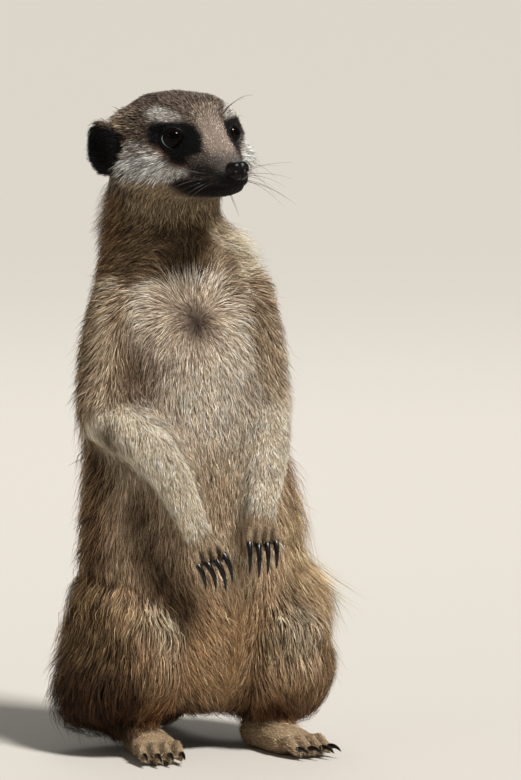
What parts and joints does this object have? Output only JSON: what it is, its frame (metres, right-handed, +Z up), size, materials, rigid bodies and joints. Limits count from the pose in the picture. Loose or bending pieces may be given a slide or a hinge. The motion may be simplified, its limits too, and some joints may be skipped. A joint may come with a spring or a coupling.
{
  "type": "meerkat",
  "caption": "Life-size still model of a meerkat sitting upright on its haunches, head turned to its left, hands hanging before its belly and tail laid behind it.",
  "frame": {"origin": "on the floor, below the middle of the whole animal's box, tail included", "axes": "+Z up; the chest faces -Y; +X is the animal's own left side"},
  "size_m": [0.155, 0.2182, 0.2796],
  "materials": {
    "coat": "grizzled fur: cream front and arms, tawny haunches, dark brown back, black ears and eye patches",
    "claw": "polished black horn",
    "eye": "wet, near-black brown",
    "nose": "moist black nose leather"
  },
  "bodies": {
    "root": {"trunk": "coat", "ear_right": "coat", "eye_right": "eye", "ear_left": "coat", "eye_left": "eye", "nose": "nose", "head": "coat", "neck": "coat", "upper_arm_right": "coat", "forearm_right": "coat", "hand_right_claw_1": "claw", "hand_right_claw_2": "claw", "hand_right_claw_3": "claw", "hand_right_claw_4": "claw", "hand_right": "coat", "upper_arm_left": "coat", "forearm_left": "coat", "hand_left_claw_1": "claw", "hand_left_claw_2": "claw", "hand_left_claw_3": "claw", "hand_left_claw_4": "claw", "hand_left": "coat", "thigh_right": "coat", "shank_right": "coat", "foot_right_claw_1": "claw", "foot_right_claw_2": "claw", "foot_right_claw_3": "claw", "foot_right_claw_4": "claw", "foot_right": "coat", "thigh_left": "coat", "shank_left": "coat", "foot_left_claw_1": "claw", "foot_left_claw_2": "claw", "foot_left_claw_3": "claw", "foot_left_claw_4": "claw", "foot_left": "coat", "tail_base": "coat", "tail_middle": "coat", "tail_tip": "coat"}
  },
  "joints": []
}
